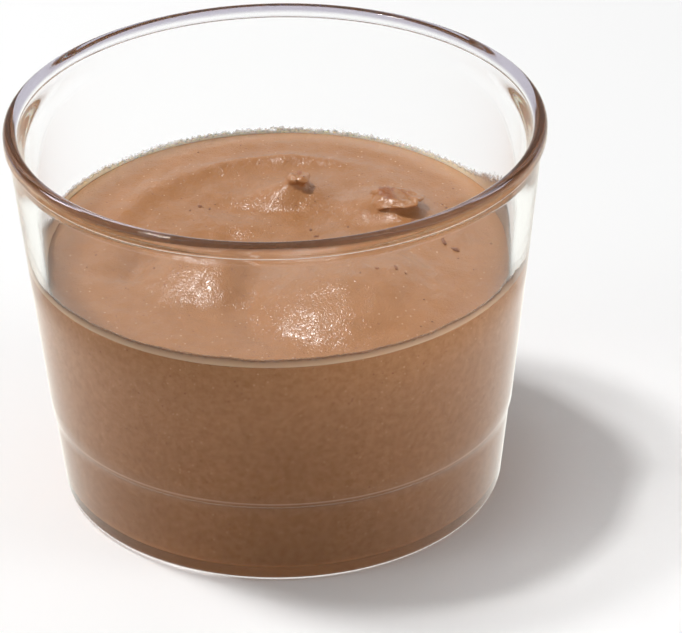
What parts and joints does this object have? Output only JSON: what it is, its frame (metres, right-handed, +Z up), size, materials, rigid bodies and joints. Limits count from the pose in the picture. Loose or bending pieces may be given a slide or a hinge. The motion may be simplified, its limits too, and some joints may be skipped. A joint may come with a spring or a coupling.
{
  "type": "chocolate mousse in a clear pot",
  "caption": "Chocolate mousse with a soft swirl and two torn tips, filling a round tapered clear pot to two thirds, with a rounded bead at the rim.",
  "frame": {"origin": "centre of the pot's flat underside, which stands on z = 0", "axes": "+Z up along the pot's axis, -Y towards the front of the swirl, +X to its right"},
  "size_m": [0.084, 0.084, 0.0625],
  "materials": {
    "clear_pot": "clear and smooth, polished",
    "mousse": "whipped chocolate mousse, satin, full of fine bubbles"
  },
  "bodies": {
    "root": {"pot": "clear_pot", "mousse": "mousse"}
  },
  "joints": []
}
